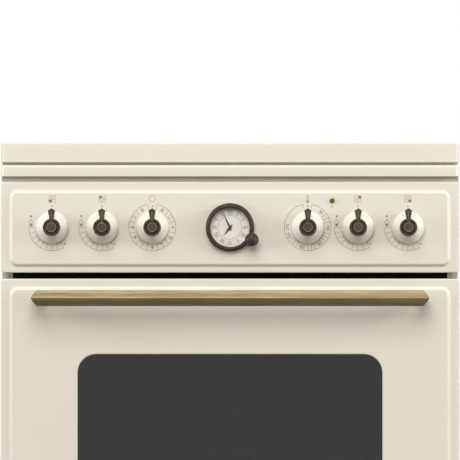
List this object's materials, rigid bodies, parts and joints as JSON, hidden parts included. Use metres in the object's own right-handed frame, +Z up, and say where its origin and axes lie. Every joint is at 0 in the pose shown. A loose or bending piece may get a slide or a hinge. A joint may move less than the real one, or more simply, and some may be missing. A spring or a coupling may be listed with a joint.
{
  "type": "dual fuel cooker",
  "caption": "Free-standing retro cooker: hinged lid over a gas hob, knobs and clock on a raised panel, drop-down electric oven door with a bar handle, and a storage drawer.",
  "frame": {"origin": "on the floor, in the middle of the cooker's width and depth with its handle", "axes": "+Z up, -Y towards the user, +X to the user's right"},
  "size_m": [0.6, 0.646, 0.85],
  "materials": {
    "cream_enamel": "vitreous enamel, gloss",
    "bronze": "dark antique bronze, satin",
    "handle_bronze": "light bronze, satin",
    "black_enamel": "black enamel",
    "oven_enamel": "easy-clean dark enamel",
    "zinc_steel": "galvanised sheet",
    "wire_chrome": "chrome plated wire",
    "heater": "oxidised tubular element",
    "window_glass": "tinted toughened glass",
    "clear_glass": "clear glass",
    "wool": "mineral wool",
    "seal_rubber": "silicone",
    "black_plastic": "moulded",
    "white_plastic": "moulded",
    "amber_lens": "moulded lens",
    "dial_paint": "printed dial",
    "valve_brass": "machined",
    "pipe_aluminium": "drawn tube",
    "burner_aluminium": "die cast",
    "cast_iron": "matt enamelled"
  },
  "bodies": {
    "chassis": {"side_panel_left": "cream_enamel", "side_panel_right": "cream_enamel", "back_panel": "zinc_steel", "base_plate": "zinc_steel", "plinth": "cream_enamel", "levelling_feet": "black_plastic", "front_frame": "black_enamel", "upper_cross_rail": "cream_enamel", "oven_cavity": "oven_enamel", "oven_insulation": "wool", "door_seal": "seal_rubber", "shelf_guides": "wire_chrome", "wire_shelf": "wire_chrome", "baking_tray": "oven_enamel", "heating_elements": "heater", "fan_cover": "oven_enamel", "fan_motor": "zinc_steel", "door_hinge_brackets": "zinc_steel", "drawer_runners": "zinc_steel", "control_panel": "cream_enamel", "gas_valves": "valve_brass", "gas_pipes": "pipe_aluminium", "oven_switches": "white_plastic", "pilot_lamp": "amber_lens", "clock_bezel": "bronze", "clock_glass": "clear_glass", "clock_dial": "dial_paint", "clock_movement": "black_plastic", "hob_tray": "cream_enamel", "burner_bodies": "burner_aluminium", "burner_caps": "cast_iron", "pan_supports": "cast_iron", "lid_hinge_brackets": "zinc_steel", "terminal_box": "black_plastic"},
    "oven_door": {"door_outer_panel": "cream_enamel", "door_window_glass": "window_glass", "door_inner_panel": "oven_enamel", "door_inner_glass": "clear_glass", "door_handle": "handle_bronze", "door_hinge_knuckles": "zinc_steel"},
    "drawer": {"drawer_front": "cream_enamel", "drawer_box": "zinc_steel"},
    "lid": {"hob_lid": "cream_enamel", "lid_hinge_arms": "zinc_steel"},
    "fan": {"oven_fan": "zinc_steel"},
    "crown": {"clock_setting_knob": "bronze"},
    "minute": {"minute_hand": "black_plastic"},
    "hour": {"hour_hand": "black_plastic"},
    "function_knob": {"function_knob_skirt": "cream_enamel", "function_knob_pointer": "bronze"},
    "thermostat_knob": {"thermostat_knob_skirt": "cream_enamel", "thermostat_knob_pointer": "bronze"},
    "front_left_push": {"front_left_knob_skirt": "cream_enamel"},
    "front_left_turn": {"front_left_knob_pointer": "bronze"},
    "rear_left_push": {"rear_left_knob_skirt": "cream_enamel"},
    "rear_left_turn": {"rear_left_knob_pointer": "bronze"},
    "rear_right_push": {"rear_right_knob_skirt": "cream_enamel"},
    "rear_right_turn": {"rear_right_knob_pointer": "bronze"},
    "front_right_push": {"front_right_knob_skirt": "cream_enamel"},
    "front_right_turn": {"front_right_knob_pointer": "bronze"}
  },
  "joints": [
    {"name": "oven_door_hinge", "type": "hinge", "parent": "chassis", "child": "oven_door", "pos_m": [0, -0.265, 0.231], "axis": [1, 0, 0], "range_deg": [0, 90]},
    {"name": "drawer_slide", "type": "slide", "parent": "chassis", "child": "drawer", "axis": [0, -1, 0], "range_m": [0, 0.34]},
    {"name": "lid_hinge", "type": "hinge", "parent": "chassis", "child": "lid", "pos_m": [0, 0.304, 0.8335], "axis": [-1, 0, 0], "range_deg": [0, 90]},
    {"name": "fan_spin", "type": "hinge", "parent": "chassis", "child": "fan", "pos_m": [0, 0.163, 0.4375], "axis": [0, 1, 0], "continuous": true},
    {"name": "clock_setting", "type": "hinge", "parent": "chassis", "child": "crown", "pos_m": [0.02837, -0.277, 0.7237], "axis": [0, 1, 0], "continuous": true},
    {"name": "minute_turn", "type": "hinge", "parent": "chassis", "child": "minute", "pos_m": [0, -0.277, 0.73975], "axis": [0, 1, 0], "continuous": true},
    {"name": "hour_turn", "type": "hinge", "parent": "chassis", "child": "hour", "pos_m": [0, -0.277, 0.73975], "axis": [0, 1, 0], "continuous": true},
    {"name": "function_select", "type": "hinge", "parent": "chassis", "child": "function_knob", "pos_m": [-0.1015, -0.277, 0.73975], "axis": [0, 1, 0], "continuous": true},
    {"name": "thermostat_set", "type": "hinge", "parent": "chassis", "child": "thermostat_knob", "pos_m": [0.1015, -0.277, 0.73975], "axis": [0, 1, 0], "range_deg": [0, 270]},
    {"name": "front_left_tap_push", "type": "slide", "parent": "chassis", "child": "front_left_push", "axis": [0, 1, 0], "range_m": [0, 0.004], "stiffness_N_per_m": 1000},
    {"name": "front_left_tap_turn", "type": "hinge", "parent": "front_left_push", "child": "front_left_turn", "pos_m": [-0.2325, -0.277, 0.73975], "axis": [0, -1, 0], "range_deg": [0, 220]},
    {"name": "rear_left_tap_push", "type": "slide", "parent": "chassis", "child": "rear_left_push", "axis": [0, 1, 0], "range_m": [0, 0.004], "stiffness_N_per_m": 1000},
    {"name": "rear_left_tap_turn", "type": "hinge", "parent": "rear_left_push", "child": "rear_left_turn", "pos_m": [-0.167, -0.277, 0.73975], "axis": [0, -1, 0], "range_deg": [0, 220]},
    {"name": "rear_right_tap_push", "type": "slide", "parent": "chassis", "child": "rear_right_push", "axis": [0, 1, 0], "range_m": [0, 0.004], "stiffness_N_per_m": 1000},
    {"name": "rear_right_tap_turn", "type": "hinge", "parent": "rear_right_push", "child": "rear_right_turn", "pos_m": [0.167, -0.277, 0.73975], "axis": [0, -1, 0], "range_deg": [0, 220]},
    {"name": "front_right_tap_push", "type": "slide", "parent": "chassis", "child": "front_right_push", "axis": [0, 1, 0], "range_m": [0, 0.004], "stiffness_N_per_m": 1000},
    {"name": "front_right_tap_turn", "type": "hinge", "parent": "front_right_push", "child": "front_right_turn", "pos_m": [0.2325, -0.277, 0.73975], "axis": [0, -1, 0], "range_deg": [0, 220]}
  ],
  "couplings": [
    {"joint": "minute_turn", "follows": "clock_setting", "ratio": 0.25},
    {"joint": "hour_turn", "follows": "clock_setting", "ratio": 0.020833}
  ]
}
